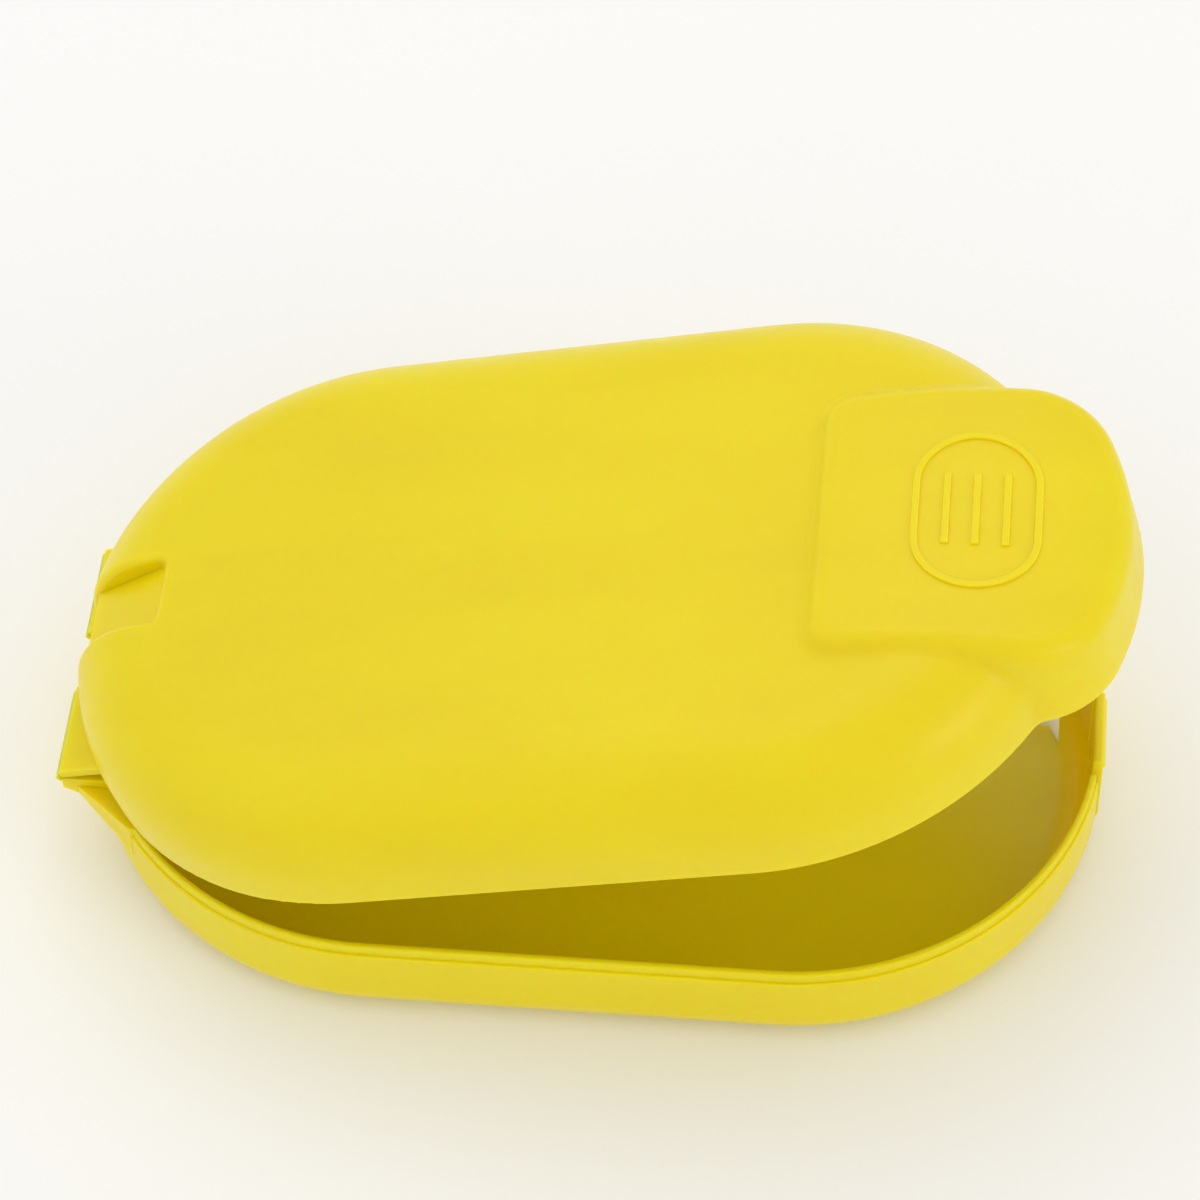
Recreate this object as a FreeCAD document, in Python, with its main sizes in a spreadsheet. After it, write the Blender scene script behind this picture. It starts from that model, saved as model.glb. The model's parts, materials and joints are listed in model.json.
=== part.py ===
import FreeCAD, Part
import math
import os
import Sketcher

# A pocket case moulded in one shot: a shallow oblong tray, a domed lid with a thumb hood at one end,
# two living-hinge films at the other end and a springy latch tongue in the tray's end wall.
# Frame: origin on the table under the middle of the tray, +X towards the latch, +Z up, millimetres.
# Both shells are drawn with the case shut; the lid is then turned open about the fold line.

DRIVING = {
    # shells
    "shell_length": 110.0,
    "shell_width": 67.0,
    "wall": 1.0,
    "tray_height": 12.7,
    "tray_round": 4.9,
    "lip_height": 1.4,
    "lip_step": 0.3,
    "lip_round": 0.25,
    "step_round": 0.2,
    "lid_height": 13.0,
    "lid_round": 9.8,
    "rim_gap": 0.1,
    "rim_round": 0.3,
    "open_angle": 14.0,
    # hinge end
    "fold_reach": 1.6,
    "fold_rise": 1.3,
    "film_radius": 0.35,
    "running_gap": 0.05,
    "leaf_half": 15.2,
    "leaf_thickness": 1.0,
    "leaf_edge_round": 0.3,
    "notch_margin": 0.3,
    "strap_gap": 7.6,
    "bracket_half": 20.3,
    "bracket_flare": 6.7,
    "bracket_lip": 0.35,
    "bracket_land": 1.6,
    "bracket_slope": 0.53,
    "scoop_half": 4.2,
    "scoop_length": 11.5,
    "scoop_inset": 2.4,
    "scoop_shallow": 1.4,
    "scoop_deep": 5.0,
    "scoop_round": 0.8,
    # thumb hood
    "hood_start": 28.5,
    "hood_nose_x": 60.3,
    "hood_back_half": 16.7,
    "hood_front_half": 17.9,
    "hood_end_radius": 32.0,
    "hood_rise": 1.5,
    "hood_level_end": 33.0,
    "hood_fall_radius": 58.0,
    "hood_back_corner": 3.5,
    "hood_front_corner": 9.0,
    "hood_edge_round": 2.4,
    "hood_foot_round": 2.0,
    "mark_x": 45.5,
    "mark_radius": 6.5,
    "mark_run": 3.5,
    "mark_line": 0.8,
    "mark_proud": 0.3,
    "mark_round": 0.15,
    "mark_bar_half": 4.5,
    "mark_bar_pitch": 3.0,
    # latch end
    "tongue_half": 4.6,
    "tongue_thickness": 1.1,
    "tongue_root_z": 4.0,
    "tongue_rise": 1.5,
    "tongue_bead": 0.25,
    "tongue_slit": 0.6,
    "keeper_thickness": 1.0,
    "keeper_gap": 0.6,
    "keeper_nib": 0.25,
    "keeper_clear": 0.3,
    "keeper_drop": 5.7,
    "relief_x": 48.2,
    "relief_length": 2.3,
    "relief_near": 6.9,
    "relief_step": 9.3,
    "relief_far": 12.6,
}

DERIVED = {
    "half_length": "=shell_length / 2",
    "end_radius": "=shell_width / 2",
    "axis_x": "=shell_length / 2 - shell_width / 2",
    "lid_rim_z": "=tray_height + rim_gap",
    "lid_top_z": "=tray_height + rim_gap + lid_height",
    "fold_x": "=-shell_length / 2 - fold_reach",
    "fold_z": "=tray_height + fold_rise",
    "leaf_edge_x": "=-shell_length / 2 - fold_reach + film_radius + running_gap",
    "hood_top_z": "=tray_height + rim_gap + lid_height + hood_rise",
    "tongue_x": "=shell_length / 2 - 0.1 - tongue_thickness / 2",
    "tongue_top_z": "=tray_height + tongue_rise",
}


def make_sheet(doc):
    """The driving dimensions and the ones worked out from them, each in a cell with an alias."""
    sheet = doc.addObject("Spreadsheet::Sheet", "sizes")
    rows = [(alias, str(value)) for alias, value in DRIVING.items()]
    rows += list(DERIVED.items())
    for row, (alias, text) in enumerate(rows, start=1):
        sheet.set("A%d" % row, alias)
        sheet.set("B%d" % row, text)
        sheet.setAlias("B%d" % row, alias)
    doc.recompute()
    return sheet


def new_body(doc, name):
    body = doc.addObject("PartDesign::Body", name)
    body.Label = name
    return body


def new_sketch(body, name, role, offset=None):
    """A sketch on one of the body's own origin planes, moved along its normal by an expression."""
    sketch = body.newObject("Sketcher::SketchObject", name)
    plane = [item for item in body.Origin.OriginFeatures if item.Role == role][0]
    sketch.AttachmentSupport = [(plane, "")]
    sketch.MapMode = "FlatFace"
    if offset:
        sketch.setExpression("AttachmentOffset.Base.z", offset)
    return sketch


def bind(sketch, constraint, expression):
    index = sketch.addConstraint(constraint)
    sketch.setExpression("Constraints[%d]" % index, expression)
    return index


def pin_point(sketch, edge, end, across, up):
    """Hold one end of an edge at a place given by two expressions."""
    bind(sketch, Sketcher.Constraint("DistanceX", -1, 1, edge, end, 1.0), across)
    bind(sketch, Sketcher.Constraint("DistanceY", -1, 1, edge, end, 1.0), up)


def polygon(sketch, corners):
    """A closed outline of straight edges through corners, each a pair of expressions."""
    first = sketch.GeometryCount
    count = len(corners)
    seeds = []
    for index in range(count):
        turn = 2 * math.pi * index / count
        seeds.append(FreeCAD.Vector(math.cos(turn), math.sin(turn), 0))
    for index in range(count):
        sketch.addGeometry(Part.LineSegment(seeds[index], seeds[(index + 1) % count]), False)
    join_ring(sketch, count, first)
    for index, (across, up) in enumerate(corners):
        pin_point(sketch, first + index, 1, across, up)


def join_ring(sketch, count, first=0):
    """Join edges first to first + count - 1 end to end into a ring."""
    for index in range(count):
        follower = first + (index + 1) % count
        sketch.addConstraint(Sketcher.Constraint("Coincident", first + index, 2, follower, 1))


def stadium(sketch, sheet, inset):
    """The oblong outline of both shells: two straight sides and two half-round ends."""
    shift = sheet.axis_x
    radius = sheet.end_radius
    half_turn = math.pi / 2
    up = FreeCAD.Vector(0, 0, 1)
    right = Part.Circle(FreeCAD.Vector(shift, 0, 0), up, radius)
    left = Part.Circle(FreeCAD.Vector(-shift, 0, 0), up, radius)
    sketch.addGeometry(Part.ArcOfCircle(right, -half_turn, half_turn), False)
    sketch.addGeometry(Part.ArcOfCircle(left, half_turn, 3 * half_turn), False)
    far = [FreeCAD.Vector(shift, radius, 0), FreeCAD.Vector(-shift, radius, 0)]
    near = [FreeCAD.Vector(-shift, -radius, 0), FreeCAD.Vector(shift, -radius, 0)]
    sketch.addGeometry(Part.LineSegment(*far), False)
    sketch.addGeometry(Part.LineSegment(*near), False)
    joins = [(0, 2, 2, 1), (2, 2, 1, 1), (1, 2, 3, 1), (3, 2, 0, 1)]
    for join in joins:
        sketch.addConstraint(Sketcher.Constraint("Tangent", *join))
    for arc in (0, 1):
        sketch.addConstraint(Sketcher.Constraint("PointOnObject", arc, 3, -1))
        bind(sketch, Sketcher.Constraint("Radius", arc, radius), "sizes.end_radius - %s" % inset)
    bind(sketch, Sketcher.Constraint("DistanceX", -1, 1, 0, 3, shift), "sizes.axis_x")
    bind(sketch, Sketcher.Constraint("DistanceX", 1, 3, -1, 1, shift), "sizes.axis_x")


def pad(body, name, sketch, length, symmetric=False, downwards=False):
    feature = body.newObject("PartDesign::Pad", name)
    feature.Profile = sketch
    feature.setExpression("Length", length)
    feature.Midplane = symmetric
    feature.Reversed = downwards
    return feature


def pocket(body, name, sketch, length, symmetric=True, reverse=False):
    """Cut a sketch out of the body, and make sure that it did take material away."""
    before = body.Shape.Volume
    feature = body.newObject("PartDesign::Pocket", name)
    feature.Profile = sketch
    feature.setExpression("Length", length)
    feature.Midplane = symmetric
    feature.Reversed = reverse
    body.Document.recompute()
    if body.Shape.Volume > before - 0.01:
        raise ValueError("%s cuts nothing" % name)
    return feature


def edge_names(shape, wanted):
    """Names of the shape's edges for which wanted(edge) is true."""
    return ["Edge%d" % (index + 1) for index, edge in enumerate(shape.Edges) if wanted(edge)]


def fillet(body, name, radius, wanted):
    """Round the edges of the body's tip that wanted() picks."""
    body.Document.recompute()
    tip = body.Tip
    names = edge_names(tip.Shape, wanted)
    feature = body.newObject("PartDesign::Fillet", name)
    feature.Base = (tip, names)
    feature.setExpression("Radius", radius)
    body.Document.recompute()
    if "Invalid" in feature.State or feature.Shape.isNull():
        raise ValueError("%s cannot round its %d edges" % (name, len(names)))
    return feature


def combine(body, name, kind, tools):
    """Add or take away other bodies."""
    feature = body.newObject("PartDesign::Boolean", name)
    feature.setObjects(tools)
    feature.Type = kind
    body.Document.recompute()
    return feature


def all_at_height(edge, height):
    box = edge.BoundBox
    return abs(box.ZMin - height) < 0.01 and abs(box.ZMax - height) < 0.01


def upright(edge):
    box = edge.BoundBox
    return box.ZLength > 0.5 and box.XLength < 0.01 and box.YLength < 0.01


def lies_around(edge, radius, sheet):
    """True for an edge whose middle is on the oblong outline of that end radius."""
    middle = edge.valueAt((edge.FirstParameter + edge.LastParameter) / 2)
    beyond = max(abs(middle.x) - sheet.axis_x, 0)
    return abs(math.hypot(beyond, middle.y) - radius) < 0.01


def dome(doc, sheet, name, inset):
    """The lid's plain form, solid: drawn from the rim up, with its top edge rounded."""
    body = new_body(doc, name)
    outline = new_sketch(body, name + "_outline", "XY_Plane", "sizes.lid_rim_z")
    stadium(outline, sheet, inset)
    pad(body, name + "_height", outline, "sizes.lid_height - %s" % inset)
    doc.recompute()
    top = body.Shape.BoundBox.ZMax
    fillet(body, name + "_shoulder", "sizes.lid_round - %s" % inset,
           lambda edge: all_at_height(edge, top))
    return body


def cut_scoop(body, name, inset):
    """The thumbnail-sized hollow over the gap between the hinge straps."""
    side = new_sketch(body, name + "_side", "XZ_Plane")
    end = "-sizes.half_length + sizes.scoop_inset + %s" % inset
    start = "-sizes.half_length + sizes.scoop_length + %s" % inset
    shallow = "sizes.lid_top_z - sizes.scoop_shallow - %s" % inset
    deep = "sizes.lid_top_z - sizes.scoop_deep - %s" % inset
    outside = "-sizes.half_length - 5"
    corners = [
        (outside, "sizes.lid_rim_z - 1"),
        (end, "sizes.lid_rim_z - 1"),
        (end, deep),
        (start, shallow),
        (start + " + 1", "sizes.lid_top_z + 1"),
        (outside, "sizes.lid_top_z + 1"),
    ]
    polygon(side, corners)
    pocket(body, name, side, "2 * (sizes.scoop_half + %s)" % inset)


def around_scoop(edge, sheet):
    """True for the edges where the hollow's sides and end run out into the dome."""
    box = edge.BoundBox
    within = max(abs(box.YMin), abs(box.YMax)) < sheet.scoop_half + 0.1
    return within and box.XMax < 0 and box.ZMax > sheet.lid_top_z - 0.05


def hood_form(doc, sheet, name, inset):
    """The thumb hood as a solid: a flared plan, cut off by a top that falls towards its nose."""
    body = new_body(doc, name)
    plan = new_sketch(body, name + "_plan", "XY_Plane", "sizes.lid_rim_z")
    back = sheet.hood_start
    half = sheet.hood_front_half
    radius = sheet.hood_end_radius
    centre = FreeCAD.Vector(sheet.hood_nose_x - radius, 0, 0)
    spread = math.asin(half / radius)
    nose = Part.ArcOfCircle(Part.Circle(centre, FreeCAD.Vector(0, 0, 1), radius), -spread, spread)
    near_back = FreeCAD.Vector(back, -half, 0)
    far_back = FreeCAD.Vector(back, half, 0)
    plan.addGeometry(Part.LineSegment(far_back, near_back), False)
    plan.addGeometry(Part.LineSegment(near_back, nose.StartPoint), False)
    plan.addGeometry(nose, False)
    plan.addGeometry(Part.LineSegment(nose.EndPoint, far_back), False)
    join_ring(plan, 4)
    pin_point(plan, 0, 1, "sizes.hood_start + %s" % inset, "sizes.hood_back_half - %s" % inset)
    pin_point(plan, 0, 2, "sizes.hood_start + %s" % inset, "-sizes.hood_back_half + %s" % inset)
    plan.addConstraint(Sketcher.Constraint("PointOnObject", 2, 3, -1))
    bind(plan, Sketcher.Constraint("DistanceX", -1, 1, 2, 3, centre.x),
         "sizes.hood_nose_x - sizes.hood_end_radius")
    bind(plan, Sketcher.Constraint("Radius", 2, radius), "sizes.hood_end_radius - %s" % inset)
    bind(plan, Sketcher.Constraint("DistanceY", -1, 1, 2, 2, half), "sizes.hood_front_half - %s" % inset)
    bind(plan, Sketcher.Constraint("DistanceY", 2, 1, -1, 1, half), "sizes.hood_front_half - %s" % inset)
    pad(body, name + "_block", plan, "sizes.lid_height + sizes.hood_rise - %s" % inset)
    doc.recompute()
    middle = (back + sheet.hood_nose_x) / 2
    fillet(body, name + "_back_corners", "sizes.hood_back_corner - %s" % inset,
           lambda edge: upright(edge) and edge.BoundBox.XMin < middle)
    fillet(body, name + "_front_corners", "sizes.hood_front_corner - %s" % inset,
           lambda edge: upright(edge) and edge.BoundBox.XMin > middle)
    cut_fall(body, sheet, name + "_fall", inset)
    floor = sheet.lid_rim_z
    fillet(body, name + "_edge", "sizes.hood_edge_round - %s" % inset,
           lambda edge: edge.BoundBox.ZMin > floor + 4 and not straight_across(edge))
    return body


def straight_across(edge):
    """True for an edge that only marks where a flat turns into a curve, from side to side."""
    box = edge.BoundBox
    return box.XLength < 0.01 and box.ZLength < 0.01 and box.YMin < 0 < box.YMax


def cut_fall(body, sheet, name, inset):
    """Take off what stands above the hood's falling top line."""
    top = sheet.hood_top_z
    level = sheet.hood_level_end
    fall = sheet.hood_fall_radius
    reach = sheet.hood_nose_x + 3 - level
    turn = math.asin(reach / fall)
    centre = FreeCAD.Vector(level, top - fall, 0)
    circle = Part.Circle(centre, FreeCAD.Vector(0, 0, 1), fall)
    arc = Part.ArcOfCircle(circle, math.pi / 2 - turn, math.pi / 2)
    over_start = FreeCAD.Vector(level, top + 3, 0)
    over_end = FreeCAD.Vector(level + reach, top + 3, 0)
    side = new_sketch(body, name + "_side", "XZ_Plane")
    side.addGeometry(arc, False)
    side.addGeometry(Part.LineSegment(arc.EndPoint, over_start), False)
    side.addGeometry(Part.LineSegment(over_start, over_end), False)
    side.addGeometry(Part.LineSegment(over_end, arc.StartPoint), False)
    join_ring(side, 4)
    for line in (1, 3):
        side.addConstraint(Sketcher.Constraint("Vertical", line))
    side.addConstraint(Sketcher.Constraint("Horizontal", 2))
    bind(side, Sketcher.Constraint("Radius", 0, fall), "sizes.hood_fall_radius - %s" % inset)
    pin_point(side, 0, 3, "sizes.hood_level_end", "sizes.hood_top_z - sizes.hood_fall_radius")
    pin_point(side, 2, 2, "sizes.hood_nose_x + 3", "sizes.hood_top_z + 3")
    pocket(body, name, side, "3 * sizes.hood_front_half")


def rectangle(sketch, left, right, low, high):
    polygon(sketch, [(left, low), (right, low), (right, high), (left, high)])


def on_both(edge, first, second):
    """True for an edge whose middle lies on the skins of both shapes, well above the rim."""
    middle = edge.valueAt((edge.FirstParameter + edge.LastParameter) / 2)
    point = Part.Vertex(middle)
    return all(min(face.distToShape(point)[0] for face in shape.Faces) < 0.002 for shape in (first, second))


def add_lid_straps(body, sheet):
    """The two hinge leaves that stand out of the lid's end wall, either side of the gap."""
    plan = new_sketch(body, "lid_straps_plan", "XY_Plane", "sizes.fold_z + sizes.running_gap")
    inner = "-sizes.half_length + 4.5"
    rectangle(plan, "sizes.leaf_edge_x", inner, "sizes.strap_gap / 2", "sizes.leaf_half")
    rectangle(plan, "sizes.leaf_edge_x", inner, "-sizes.leaf_half", "-sizes.strap_gap / 2")
    pad(body, "lid_straps", plan, "sizes.leaf_thickness")
    top = sheet.fold_z + sheet.running_gap + sheet.leaf_thickness
    fillet(body, "leaf_edges", "sizes.leaf_edge_round",
           lambda edge: all_at_height(edge, top) and edge.BoundBox.XMax < sheet.leaf_edge_x + 0.1)


def cut_hinge_notch(body):
    """The lid's end wall stops short over the tray's hinge bracket."""
    plan = new_sketch(body, "hinge_notch_plan", "XY_Plane", "sizes.fold_z + sizes.running_gap")
    half = "(sizes.leaf_half + sizes.notch_margin)"
    rectangle(plan, "-sizes.half_length - 4", "-sizes.half_length + 6", "-" + half, half)
    pocket(body, "hinge_notch", plan, "sizes.fold_rise + 1", symmetric=False)


def thumb_mark(doc, sheet):
    """A raised oval line with three bars in it, following the hood's top, to show where to press."""
    body = new_body(doc, "thumb_mark")
    plan = new_sketch(body, "thumb_mark_plan", "XY_Plane", "sizes.lid_top_z - 4")
    for line in ("0", "sizes.mark_line"):
        oval(plan, sheet, line)
    for step in (-1, 0, 1):
        middle = "sizes.mark_x + %d * sizes.mark_bar_pitch" % step
        rectangle(plan, middle + " - sizes.mark_line / 2", middle + " + sizes.mark_line / 2",
                  "-sizes.mark_bar_half", "sizes.mark_bar_half")
    pad(body, "thumb_mark_height", plan, "10")
    limit = hood_form(doc, sheet, "mark_limit", "-sizes.mark_proud")
    combine(body, "thumb_mark_top", "Common", [limit])
    foot = sheet.lid_top_z - 4
    fillet(body, "thumb_mark_edges", "sizes.mark_round",
           lambda edge: edge.BoundBox.ZMin > foot + 0.1 and not upright(edge))
    return body


def oval(sketch, sheet, inset):
    """An outline with two straight sides along Y and round ends, on the mark's centre."""
    first = sketch.GeometryCount
    centre = sheet.mark_x
    run = sheet.mark_run
    radius = sheet.mark_radius - (0 if inset == "0" else sheet.mark_line)
    up = FreeCAD.Vector(0, 0, 1)
    far = Part.Circle(FreeCAD.Vector(centre, run, 0), up, radius)
    near = Part.Circle(FreeCAD.Vector(centre, -run, 0), up, radius)
    arcs = [Part.ArcOfCircle(far, 0, math.pi), Part.ArcOfCircle(near, math.pi, 2 * math.pi)]
    sketch.addGeometry(arcs[0], False)
    sketch.addGeometry(Part.LineSegment(arcs[0].EndPoint, arcs[1].StartPoint), False)
    sketch.addGeometry(arcs[1], False)
    sketch.addGeometry(Part.LineSegment(arcs[1].EndPoint, arcs[0].StartPoint), False)
    for index in range(4):
        follower = first + (index + 1) % 4
        sketch.addConstraint(Sketcher.Constraint("Tangent", first + index, 2, follower, 1))
    for arc, place in ((first, "sizes.mark_run"), (first + 2, "-sizes.mark_run")):
        pin_point(sketch, arc, 3, "sizes.mark_x", place)
        bind(sketch, Sketcher.Constraint("Radius", arc, radius), "sizes.mark_radius - %s" % inset)


def add_keeper(body):
    """The rib under the hood's roof that the latch tongue's bead clicks behind."""
    side = new_sketch(body, "keeper_side", "XZ_Plane")
    inner = "sizes.half_length + sizes.keeper_gap"
    outer = inner + " + sizes.keeper_thickness"
    nib = inner + " - sizes.keeper_nib"
    low = "sizes.lid_rim_z + sizes.keeper_clear"
    high = "sizes.hood_top_z - sizes.keeper_drop"
    polygon(side, [
        (nib, low),
        (outer, low),
        (outer, high),
        (inner, high),
        (inner, low + " + 0.8 + sizes.keeper_nib"),
        (nib, low + " + 0.8"),
    ])
    pad(body, "keeper", side, "2 * sizes.tongue_half + 1", symmetric=True)


def upper_shell(doc, sheet):
    body = dome(doc, sheet, "upper_shell", "0")
    cut_scoop(body, "scoop", "0")
    fillet(body, "scoop_edges", "sizes.scoop_round", lambda edge: around_scoop(edge, sheet))
    plain = body.Shape.copy()
    hood = hood_form(doc, sheet, "hood", "0")
    shape_of_hood = hood.Shape.copy()
    combine(body, "add_hood", "Fuse", [hood])
    fillet(body, "hood_foot", "sizes.hood_foot_round",
           lambda edge: edge.BoundBox.ZMin > sheet.lid_rim_z + 5 and on_both(edge, plain, shape_of_hood))
    add_lid_straps(body, sheet)
    combine(body, "add_thumb_mark", "Fuse", [thumb_mark(doc, sheet)])
    core = dome(doc, sheet, "lid_core", "sizes.wall")
    cut_scoop(core, "core_scoop", "sizes.wall")
    combine(core, "core_hood", "Fuse", [hood_form(doc, sheet, "hood_core", "sizes.wall")])
    combine(body, "hollow", "Cut", [core])
    cut_hinge_notch(body)
    fillet(body, "rim_edges", "sizes.rim_round", lambda edge: all_at_height(edge, sheet.lid_rim_z))
    add_keeper(body)
    return body


def hinge_bracket(doc, sheet):
    """The tray's half of the hinge: flared into the wall, sloped underneath, split by the gap."""
    body = new_body(doc, "hinge_bracket")
    plan = new_sketch(body, "bracket_plan", "XY_Plane", "sizes.tray_height")
    inner = "-sizes.half_length + 9"
    wide = "-sizes.half_length + sizes.bracket_flare"
    for side in ("", "-"):
        polygon(plan, [
            ("sizes.leaf_edge_x", side + "sizes.strap_gap / 2"),
            ("sizes.leaf_edge_x", side + "sizes.leaf_half"),
            ("sizes.leaf_edge_x + sizes.bracket_land", side + "sizes.leaf_half"),
            (wide, side + "sizes.bracket_half"),
            (inner, side + "sizes.bracket_half"),
            (inner, side + "sizes.strap_gap / 2"),
        ])
    pad(body, "bracket_block", plan, "8", downwards=True)
    side_view = new_sketch(body, "bracket_side", "XZ_Plane")
    edge = "sizes.leaf_edge_x"
    lip = "sizes.tray_height - sizes.bracket_lip"
    polygon(side_view, [
        (edge + " - 1", "0"),
        (edge + " - 1", lip),
        (edge, lip),
        (edge + " + 10", lip + " - 10 * sizes.bracket_slope"),
        (edge + " + 10", "0"),
    ])
    doc.recompute()
    pocket(body, "bracket_slope", side_view, "60")
    top = new_sketch(body, "bracket_top", "XY_Plane", "sizes.tray_height - 0.01")
    rectangle(top, "sizes.leaf_edge_x", inner, "sizes.strap_gap / 2", "sizes.leaf_half")
    rectangle(top, "sizes.leaf_edge_x", inner, "-sizes.leaf_half", "-sizes.strap_gap / 2")
    pad(body, "bracket_seat", top, "sizes.fold_rise - sizes.running_gap + 0.01")
    doc.recompute()
    return body


def tray_core(doc, sheet):
    """The space inside the tray, carried on past the rim so that it also trims the bracket."""
    body = new_body(doc, "tray_core")
    outline = new_sketch(body, "tray_core_outline", "XY_Plane", "sizes.wall")
    stadium(outline, sheet, "sizes.wall")
    pad(body, "tray_core_height", outline, "sizes.tray_height + 4")
    doc.recompute()
    floor = sheet.wall
    fillet(body, "tray_core_round", "sizes.tray_round - sizes.wall",
           lambda edge: all_at_height(edge, floor))
    return body


def cut_relief(body):
    """A small window through the floor's corner beside the tongue, so that the end wall can flex."""
    plan = new_sketch(body, "relief_plan", "XY_Plane", "sizes.tray_height / 3")
    outer = "sizes.relief_x + sizes.relief_length"
    polygon(plan, [
        ("sizes.relief_x", "sizes.relief_step"),
        ("sizes.relief_x + sizes.relief_length / 2", "sizes.relief_step"),
        (outer, "sizes.relief_near"),
        (outer, "sizes.relief_far"),
        ("sizes.relief_x", "sizes.relief_far"),
    ])
    pocket(body, "relief_window", plan, "sizes.tray_height", symmetric=False)


def cut_tongue_slot(body):
    side = new_sketch(body, "tongue_slot_side", "XZ_Plane")
    rectangle(side, "sizes.half_length - 3", "sizes.half_length + 1",
              "sizes.tongue_root_z", "sizes.tray_height + 1")
    pocket(body, "tongue_slot", side, "2 * (sizes.tongue_half + sizes.tongue_slit)")


def lower_shell(doc, sheet):
    body = new_body(doc, "lower_shell")
    outline = new_sketch(body, "tray_outline", "XY_Plane")
    stadium(outline, sheet, "0")
    pad(body, "tray_side", outline, "sizes.tray_height - sizes.lip_height")
    fillet(body, "tray_corner", "sizes.tray_round", lambda edge: all_at_height(edge, 0))
    lip = new_sketch(body, "tray_lip_outline", "XY_Plane", "sizes.tray_height - sizes.lip_height")
    stadium(lip, sheet, "sizes.lip_step")
    pad(body, "tray_lip", lip, "sizes.lip_height")
    top = sheet.tray_height
    step = top - sheet.lip_height
    fillet(body, "lip_outer_edge", "sizes.lip_round", lambda edge: all_at_height(edge, top))
    fillet(body, "step_edge", "sizes.step_round",
           lambda edge: all_at_height(edge, step) and lies_around(edge, sheet.end_radius, sheet))
    combine(body, "add_bracket", "Fuse", [hinge_bracket(doc, sheet)])
    combine(body, "hollow_tray", "Cut", [tray_core(doc, sheet)])
    inner_radius = sheet.end_radius - sheet.wall
    fillet(body, "lip_inner_edge", "sizes.lip_round",
           lambda edge: all_at_height(edge, top) and lies_around(edge, inner_radius, sheet))
    cut_tongue_slot(body)
    cut_relief(body)
    return body


def latch_tongue(doc, sheet):
    """The springy strip between the slits, with a bead across its outer face near the top."""
    body = new_body(doc, "latch_tongue")
    side = new_sketch(body, "tongue_side", "XZ_Plane")
    half = "sizes.tongue_thickness / 2"
    low = "sizes.tongue_root_z + sizes.running_gap"
    rectangle(side, "sizes.tongue_x - " + half, "sizes.tongue_x + " + half, low, "sizes.tongue_top_z")
    pad(body, "tongue_strip", side, "2 * sizes.tongue_half", symmetric=True)
    doc.recompute()
    bottom = sheet.tongue_root_z + sheet.running_gap
    fillet(body, "tongue_root", half + " - 0.01",
           lambda edge: all_at_height(edge, bottom) and edge.Length > 5)
    top = sheet.tongue_top_z
    fillet(body, "tongue_tip", "0.4", lambda edge: all_at_height(edge, top) and edge.Length > 5)
    bead = new_sketch(body, "bead_side", "XZ_Plane")
    face = "sizes.tongue_x + " + half
    middle = "sizes.tray_height + sizes.tongue_rise - 1"
    polygon(bead, [(face + " - 0.2", middle + " - 0.7"), (face, middle + " - 0.7"),
                   (face + " + sizes.tongue_bead", middle), (face, middle + " + 0.5"),
                   (face + " - 0.2", middle + " + 0.5")])
    pad(body, "tongue_bead", bead, "2 * sizes.tongue_half - 0.6", symmetric=True)
    return body


def hinge_film(doc, name, start):
    """One living-hinge film, folded: a slim bead along the fold line, from start towards +Y."""
    film = doc.addObject("Part::Cylinder", name)
    film.Label = name
    film.setExpression("Radius", "sizes.film_radius")
    film.setExpression("Height", "sizes.leaf_half - sizes.strap_gap / 2")
    film.Placement.Rotation = FreeCAD.Rotation(FreeCAD.Vector(1, 0, 0), -90)
    film.setExpression("Placement.Base.x", "sizes.fold_x")
    film.setExpression("Placement.Base.y", start)
    film.setExpression("Placement.Base.z", "sizes.fold_z")
    return film


def check_and_write(doc, parts):
    doc.recompute()
    for item in doc.Objects:
        if "Invalid" in item.State or "Error" in item.State:
            raise ValueError("%s failed: %s" % (item.Name, item.State))
    os.makedirs("parts", exist_ok=True)
    for part in parts:
        shape = part.Shape
        if shape.isNull() or not shape.isValid() or len(shape.Solids) != 1:
            raise ValueError("%s has no single sound solid" % part.Label)
        shape.exportStep("parts/%s.step" % part.Label)
        box = shape.BoundBox
        print("%-18s %8.1f mm3  X %.1f to %.1f  Y %.1f to %.1f  Z %.1f to %.1f" % (
            part.Label, shape.Volume, box.XMin, box.XMax, box.YMin, box.YMax, box.ZMin, box.ZMax))


def main():
    doc = FreeCAD.newDocument("clamshell_case")
    sheet = make_sheet(doc)
    tray = lower_shell(doc, sheet)
    tongue = latch_tongue(doc, sheet)
    near_film = hinge_film(doc, "hinge_film_near", "-sizes.leaf_half")
    far_film = hinge_film(doc, "hinge_film_far", "sizes.strap_gap / 2")
    lid = upper_shell(doc, sheet)
    fold = FreeCAD.Vector(sheet.fold_x, 0, sheet.fold_z)
    opened = FreeCAD.Rotation(FreeCAD.Vector(0, -1, 0), sheet.open_angle)
    lid.Placement = FreeCAD.Placement(FreeCAD.Vector(0, 0, 0), opened, fold)
    check_and_write(doc, [tray, lid, tongue, near_film, far_film])


main()
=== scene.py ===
"""Looks of a yellow snap case: a shallow tray and a domed lid, moulded in one with film hinges.

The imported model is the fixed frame. Its two shells and latch tongue keep their shapes and get
their finishes here, the folded hinge films are modelled here, and a small studio is set up round
the case. Lengths are in metres unless a name says millimetres, and angles are in radians unless
they are an azimuth, an elevation or a roll, which are in degrees.
"""

import json
import logging
import math
from dataclasses import dataclass, field
from enum import Enum

import bmesh
import bpy
from mathutils import Matrix, Vector

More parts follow.
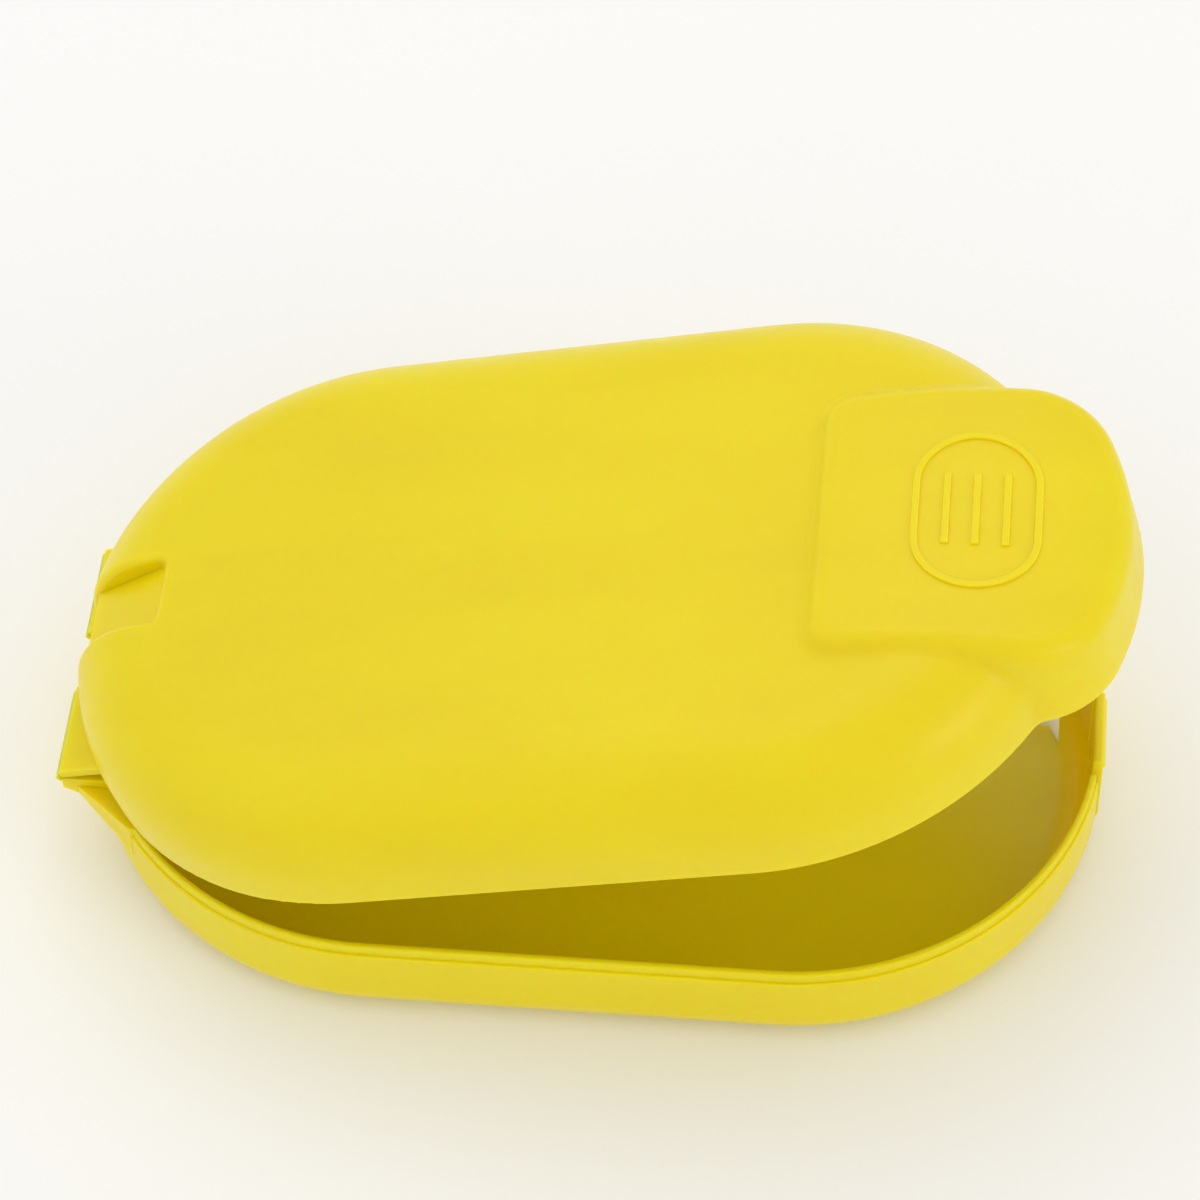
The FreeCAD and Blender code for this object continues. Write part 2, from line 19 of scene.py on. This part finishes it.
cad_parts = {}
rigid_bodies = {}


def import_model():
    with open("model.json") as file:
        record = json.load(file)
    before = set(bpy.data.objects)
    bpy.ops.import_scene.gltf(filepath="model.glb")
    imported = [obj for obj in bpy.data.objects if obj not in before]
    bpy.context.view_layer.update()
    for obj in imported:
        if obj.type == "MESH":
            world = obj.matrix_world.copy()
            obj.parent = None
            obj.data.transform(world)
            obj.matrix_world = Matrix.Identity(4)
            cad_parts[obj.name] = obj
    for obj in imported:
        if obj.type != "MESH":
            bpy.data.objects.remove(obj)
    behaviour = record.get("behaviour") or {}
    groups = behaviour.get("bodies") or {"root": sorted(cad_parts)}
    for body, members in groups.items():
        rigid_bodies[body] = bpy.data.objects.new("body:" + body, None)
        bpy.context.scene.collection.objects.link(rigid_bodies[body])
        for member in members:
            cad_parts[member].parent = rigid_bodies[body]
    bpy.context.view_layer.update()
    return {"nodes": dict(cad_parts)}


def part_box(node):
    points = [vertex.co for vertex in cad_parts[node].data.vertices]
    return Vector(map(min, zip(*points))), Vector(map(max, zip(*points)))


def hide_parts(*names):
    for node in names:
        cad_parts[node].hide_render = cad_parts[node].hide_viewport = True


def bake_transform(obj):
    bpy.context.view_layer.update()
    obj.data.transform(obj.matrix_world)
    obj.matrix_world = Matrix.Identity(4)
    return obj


MM = 0.001
LOG = logging.getLogger("snap_case")


class Body(Enum):
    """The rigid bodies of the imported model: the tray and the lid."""

    TRAY = "lower_shell"
    LID = "upper_shell"


class Slot(Enum):
    """The record's material slots."""

    FILM = "film"


def linear(hex_colour: str) -> tuple[float, float, float, float]:
    """Turn an sRGB colour into the linear values that shaders use.

    Args:
        hex_colour: Six hex digits after a hash sign.

    Returns:
        Red, green, blue and an alpha of one.
    """
    shares = [int(hex_colour[start:start + 2], 16) / 255 for start in (1, 3, 5)]
    values = [
        share / 12.92 if share <= 0.04045 else ((share + 0.055) / 1.055) ** 2.4
        for share in shares
    ]
    return (*values, 1.0)


def add_node(
    tree: bpy.types.NodeTree, kind: str, settings: dict | None = None, **inputs: object,
) -> bpy.types.Node:
    """Add a node, set its options and fill or link its inputs.

    Args:
        tree: The material's node tree.
        kind: The node's type name.
        settings: Attributes to set on the node before its inputs.
        **inputs: A socket to link from, or a value, for each input by its name with _ for a space.

    Returns:
        The new node.
    """
    node = tree.nodes.new(kind)
    for name, value in (settings or {}).items():
        setattr(node, name, value)
    for name, value in inputs.items():
        socket = node.inputs[name.replace("_", " ")]
        if isinstance(value, bpy.types.NodeSocket):
            tree.links.new(value, socket)
        else:
            socket.default_value = value
    return node


@dataclass(frozen=True)
class Polypropylene:
    """Injection-moulded polypropylene: a satin, waxy plastic that lets a little light through.

    The pigment is the same all through, so what varies is how the melt flowed, the faint grain
    left by the tool's surface, and the scuffs of use. The light that enters spreads furthest in
    red and hardly at all in blue, which is what makes thin walls glow warm.
    """

    name: str
    body_colour: str
    flow_colour: str
    sheen_low: float
    sheen_high: float
    glow: float = 1.0
    depth_mm: float = 1.6
    depth_by_colour: tuple[float, float, float] = (1.0, 0.72, 0.12)
    refraction: float = 1.49
    shine: float = 0.32
    flow_mm: float = 16.0
    flow_stretch: float = 0.3
    tool_grain_mm: float = 0.9
    tool_grain_rise_mm: float = 0.006
    waviness_mm: float = 9.0
    waviness_rise_mm: float = 0.03
    scuff_mm: float = 2.6

    def build(self) -> bpy.types.Material:
        """Make the material.

        Returns:
            The finished material.
        """
        material = bpy.data.materials.new(self.name)
        material.use_nodes = True
        tree = material.node_tree
        tree.nodes.clear()
        place = add_node(tree, "ShaderNodeTexCoord").outputs["Object"]
        shader = add_node(
            tree, "ShaderNodeBsdfPrincipled",
            Base_Color=self.flow_marks(tree, place),
            Roughness=self.scuffs(tree, place),
            IOR=self.refraction,
            Specular_IOR_Level=self.shine,
            Subsurface_Weight=self.glow,
            Subsurface_Radius=self.depth_by_colour,
            Subsurface_Scale=self.depth_mm * MM,
            Normal=self.relief(tree, place),
        )
        add_node(tree, "ShaderNodeOutputMaterial", Surface=shader.outputs["BSDF"])
        return material

    def flow_marks(
        self, tree: bpy.types.NodeTree, place: bpy.types.NodeSocket,
    ) -> bpy.types.NodeSocket:
        """Draw faint long streaks of denser pigment along the case, where the melt ran.

        Args:
            tree: The material's node tree.
            place: The socket that gives the object's own coordinates.

        Returns:
            The colour.
        """
        run = add_node(
            tree, "ShaderNodeMapping", Vector=place,
            Scale=(self.flow_stretch, 1.0, 1.0),
        )
        streaks = add_node(
            tree, "ShaderNodeTexNoise", Vector=run.outputs["Vector"],
            Scale=1 / (self.flow_mm * MM), Detail=4.0, Roughness=0.55,
        )
        share = add_node(
            tree, "ShaderNodeMapRange", Value=streaks.outputs["Fac"],
            From_Min=0.35, From_Max=0.68,
        )
        mix = add_node(
            tree, "ShaderNodeMix", {"data_type": "RGBA"},
            Factor=share.outputs["Result"],
        )
        colours = [socket for socket in mix.inputs if socket.type == "RGBA"]
        colours[0].default_value = linear(self.body_colour)
        colours[1].default_value = linear(self.flow_colour)
        return [socket for socket in mix.outputs if socket.type == "RGBA"][0]

    def scuffs(
        self, tree: bpy.types.NodeTree, place: bpy.types.NodeSocket,
    ) -> bpy.types.NodeSocket:
        """Make the gloss uneven: duller where the case has rubbed in a pocket or a tackle box.

        Args:
            tree: The material's node tree.
            place: The socket that gives the object's own coordinates.

        Returns:
            The roughness.
        """
        patches = add_node(
            tree, "ShaderNodeTexNoise", Vector=place,
            Scale=1 / (self.scuff_mm * MM), Detail=6.0, Roughness=0.6,
        )
        gloss = add_node(
            tree, "ShaderNodeMapRange", Value=patches.outputs["Fac"],
            From_Min=0.3, From_Max=0.7, To_Min=self.sheen_low, To_Max=self.sheen_high,
        )
        return gloss.outputs["Result"]

    def relief(
        self, tree: bpy.types.NodeTree, place: bpy.types.NodeSocket,
    ) -> bpy.types.NodeSocket:
        """Lay the tool's fine grain over the slow waviness of a wall that shrank as it cooled.

        Args:
            tree: The material's node tree.
            place: The socket that gives the object's own coordinates.

        Returns:
            The surface normal.
        """
        waves = add_node(
            tree, "ShaderNodeTexNoise", Vector=place,
            Scale=1 / (self.waviness_mm * MM), Detail=1.0, Roughness=0.4,
        )
        sunk = add_node(
            tree, "ShaderNodeBump", Height=waves.outputs["Fac"],
            Strength=1.0, Distance=self.waviness_rise_mm * MM,
        )
        grain = add_node(
            tree, "ShaderNodeTexNoise", Vector=place,
            Scale=1 / (self.tool_grain_mm * MM), Detail=3.0, Roughness=0.5,
        )
        grained = add_node(
            tree, "ShaderNodeBump", Height=grain.outputs["Fac"], Normal=sunk.outputs["Normal"],
            Strength=1.0, Distance=self.tool_grain_rise_mm * MM,
        )
        return grained.outputs["Normal"]


# Polypropylene moulded in a fine-grained tool: satin, saturated yellow, a soft glow in thin walls.
SHELL_FINISH = Polypropylene(
    name="moulded_polypropylene_yellow",
    body_colour="#EEDB08",
    flow_colour="#EAD506",
    sheen_low=0.30,
    sheen_high=0.42,
)
# The same plastic coined thin at the fold: paler where it is stressed, and a little glossier.
FILM_FINISH = Polypropylene(
    name="stress_paled_polypropylene_film",
    body_colour="#F3E24C",
    flow_colour="#F0DB30",
    sheen_low=0.26,
    sheen_high=0.36,
    flow_mm=5.0,
    tool_grain_mm=0.5,
)


@dataclass
class Moulding:
    """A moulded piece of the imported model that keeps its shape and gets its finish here."""

    node: str
    finish: bpy.types.Material

    def dress(self, nodes: dict[str, bpy.types.Object]) -> bpy.types.Object:
        """Give the node its finish.

        Args:
            nodes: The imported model's objects by name.

        Returns:
            The dressed object.
        """
        piece = nodes[self.node]
        for material_slot in piece.material_slots:
            material_slot.material = self.finish
        LOG.info("dressed %s with %s", self.node, self.finish.name)
        return piece


@dataclass
class FoldedFilm:
    """One living-hinge film: the plastic thinned to a supple strip, folded round the fold line.

    Its lower border runs into the tray's leaf and its upper border into the lid's. Angles are
    about the fold line, seen from the near side, from +X up.
    """

    node: str
    finish: bpy.types.Material
    opened: float = math.radians(14)
    border: float = math.radians(56)
    fold_radius: float = 0.35 * MM
    border_radius: float = 0.72 * MM
    thickness: float = 0.2 * MM
    end_round: float = 0.09 * MM
    end_angle: float = math.radians(60)
    end_steps: int = 3
    flare: int = 3
    steps_round: int = 40
    steps_along: int = 16

    def build(self) -> bpy.types.Object:
        """Fold a flat sheet round the fold line, thicken it and hang it between the shells.

        Returns:
            The film.
        """
        low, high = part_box(self.node)
        fold = Vector(((low.x + high.x) / 2, 0.0, (low.z + high.z) / 2))
        sheet = bmesh.new()
        bmesh.ops.create_grid(
            sheet, x_segments=self.steps_round, y_segments=self.steps_along, size=0.5,
        )
        for corner in sheet.verts:
            along = low.y + (corner.co.y + 0.5) * (high.y - low.y)
            corner.co = self.folded(corner.co.x + 0.5, along, fold)
        bmesh.ops.recalc_face_normals(sheet, faces=sheet.faces)
        bmesh.ops.solidify(sheet, geom=sheet.faces[:], thickness=self.thickness)
        rims = [edge for edge in sheet.edges if edge.calc_face_angle(0.0) > self.end_angle]
        bmesh.ops.bevel(
            sheet, geom=rims, offset=self.end_round, segments=self.end_steps,
            profile=0.5, affect="EDGES", material=-1,
        )
        bmesh.ops.recalc_face_normals(sheet, faces=sheet.faces)
        for face in sheet.faces:
            face.smooth = True
        mesh = bpy.data.meshes.new(self.node + "_strip")
        sheet.to_mesh(mesh)
        sheet.free()
        mesh.materials.append(self.finish)
        film = bpy.data.objects.new(self.node + "_strip", mesh)
        bpy.context.scene.collection.objects.link(film)
        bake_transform(film)
        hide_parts(self.node)
        LOG.info("folded %s, %d faces", film.name, len(mesh.polygons))
        return film

    def folded(self, share: float, along: float, fold: Vector) -> Vector:
        """Place a point of the flat strip on the fold.

        Args:
            share: 0 at the tray's leaf, 1 at the lid's leaf.
            along: Where the point is across the case.
            fold: A point of the fold line.

        Returns:
            The folded point.
        """
        start = -self.border
        end = self.border + self.opened - 2 * math.pi
        turn = start + share * (end - start)
        swing = abs(2 * share - 1) ** self.flare
        spread = (self.border_radius - self.fold_radius) * swing
        radius = self.fold_radius - self.thickness / 2 + spread
        return Vector((fold.x + radius * math.cos(turn), along, fold.z + radius * math.sin(turn)))


@dataclass
class PaleFloor:
    """A plain matt table top, a hair below the case, so that their flat faces don't coincide."""

    half_width: float = 3.0
    drop: float = 0.02 * MM
    colour: str = "#FDFCFA"
    roughness: float = 0.9

    def build(self) -> bpy.types.Object:
        """Make the floor and set it apart from the case.

        Returns:
            The floor.
        """
        sheet = bmesh.new()
        bmesh.ops.create_grid(sheet, x_segments=2, y_segments=2, size=self.half_width)
        bmesh.ops.translate(sheet, vec=(0.0, 0.0, -self.drop), verts=sheet.verts)
        mesh = bpy.data.meshes.new("pale_floor")
        sheet.to_mesh(mesh)
        sheet.free()
        floor = bpy.data.objects.new("pale_floor", mesh)
        bpy.context.scene.collection.objects.link(floor)
        mesh.materials.append(self.paint())
        return floor

    def paint(self) -> bpy.types.Material:
        """Make the finish: matt painted board, plain on purpose.

        Returns:
            The floor's material.
        """
        material = bpy.data.materials.new("matt_white_board")
        material.use_nodes = True
        tree = material.node_tree
        tree.nodes.clear()
        shader = add_node(
            tree, "ShaderNodeBsdfPrincipled",
            Base_Color=linear(self.colour), Roughness=self.roughness,
        )
        add_node(tree, "ShaderNodeOutputMaterial", Surface=shader.outputs["BSDF"])
        return material


def bearing_of(azimuth: float, elevation: float) -> Vector:
    """Turn a bearing from the case into a direction.

    Args:
        azimuth: Degrees round from the near side, towards the latch end.
        elevation: Degrees up from the table.

    Returns:
        A direction of length one.
    """
    turn = math.radians(azimuth)
    lift = math.radians(elevation)
    return Vector((
        math.sin(turn) * math.cos(lift), -math.cos(turn) * math.cos(lift), math.sin(lift),
    ))


@dataclass(frozen=True)
class SoftBox:
    """One square studio light, placed by its bearing from the case and aimed at it.

    The azimuth runs from the near side towards the latch end.
    """

    name: str
    azimuth: float
    elevation: float
    reach: float
    side: float
    power: float

    def build(self, aim: Vector) -> bpy.types.Object:
        """Hang the light.

        Args:
            aim: The point it faces.

        Returns:
            The light.
        """
        lamp = bpy.data.lights.new(self.name, "AREA")
        lamp.shape = "SQUARE"
        lamp.size = self.side
        lamp.energy = self.power
        light = bpy.data.objects.new(self.name, lamp)
        bearing = bearing_of(self.azimuth, self.elevation)
        light.location = aim + bearing * self.reach
        light.rotation_mode = "QUATERNION"
        light.rotation_quaternion = (-bearing).to_track_quat("-Z", "Y")
        bpy.context.scene.collection.objects.link(light)
        return light


@dataclass
class Studio:
    """Plain soft light: a bright surround, two large soft boxes and a small one at the latch."""

    surround: str = "#FFFFFF"
    surround_strength: float = 0.79
    boxes: tuple[SoftBox, ...] = (
        SoftBox("overhead_box", azimuth=200.0, elevation=68.0, reach=1.1, side=0.9, power=2.2),
        SoftBox("left_fill_box", azimuth=-70.0, elevation=42.0, reach=1.2, side=0.8, power=0.6),
        SoftBox("latch_end_box", azimuth=58.0, elevation=19.0, reach=1.0, side=0.4, power=1.15),
    )

    def build(self, aim: Vector) -> None:
        """Set the surround and hang the lights.

        Args:
            aim: The point that the lights face.
        """
        world = bpy.data.worlds.new("soft_surround")
        world.use_nodes = True
        background = world.node_tree.nodes["Background"]
        background.inputs["Color"].default_value = linear(self.surround)
        background.inputs["Strength"].default_value = self.surround_strength
        bpy.context.scene.world = world
        for box in self.boxes:
            box.build(aim)
            LOG.info("hung %s", box.name)
        bpy.context.scene.view_settings.view_transform = "Standard"
        bpy.context.scene.view_settings.look = "None"


@dataclass
class ThreeQuarterCamera:
    """A long lens from above and a little right of the case's near side."""

    azimuth: float = 7.48
    elevation: float = 52.62
    roll: float = -2.49
    reach: float = 0.4612
    aim: Vector = field(default_factory=lambda: Vector((-0.0003, 0.0090, 0.0195)))
    lens_mm: float = 127.3
    film_mm: float = 36.0

    def build(self) -> bpy.types.Object:
        """Place the camera and make it the scene's own.

        Returns:
            The camera.
        """
        turn = math.radians(self.azimuth)
        lean = math.radians(self.roll)
        back = bearing_of(self.azimuth, self.elevation)
        level = Vector((math.cos(turn), math.sin(turn), 0.0))
        upright = back.cross(level)
        right = level * math.cos(lean) + upright * math.sin(lean)
        up = upright * math.cos(lean) - level * math.sin(lean)
        lens = bpy.data.cameras.new("three_quarter_camera")
        lens.lens = self.lens_mm
        lens.sensor_width = self.film_mm
        camera = bpy.data.objects.new("three_quarter_camera", lens)
        facing = Matrix((right, up, back)).transposed()
        camera.matrix_world = Matrix.Translation(self.aim + back * self.reach) @ facing.to_4x4()
        bpy.context.scene.collection.objects.link(camera)
        bpy.context.scene.camera = camera
        return camera


def clear_scene() -> None:
    """Take away what a new file starts with."""
    for item in list(bpy.data.objects):
        bpy.data.objects.remove(item, do_unlink=True)


def main() -> None:
    """Build the case's looks and the studio around it."""
    logging.basicConfig(level=logging.INFO, format="%(message)s")
    clear_scene()
    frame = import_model()
    shell_finish = SHELL_FINISH.build()
    film_finish = FILM_FINISH.build()
    for node in ("lower_shell", "upper_shell", "latch_tongue"):
        Moulding(node, shell_finish).dress(frame["nodes"])
    for node in ("hinge_film_near", "hinge_film_far"):
        FoldedFilm(node, film_finish).build()
    PaleFloor().build()
    camera = ThreeQuarterCamera()
    camera.build()
    Studio().build(camera.aim)


if __name__ == "__main__":
    main()
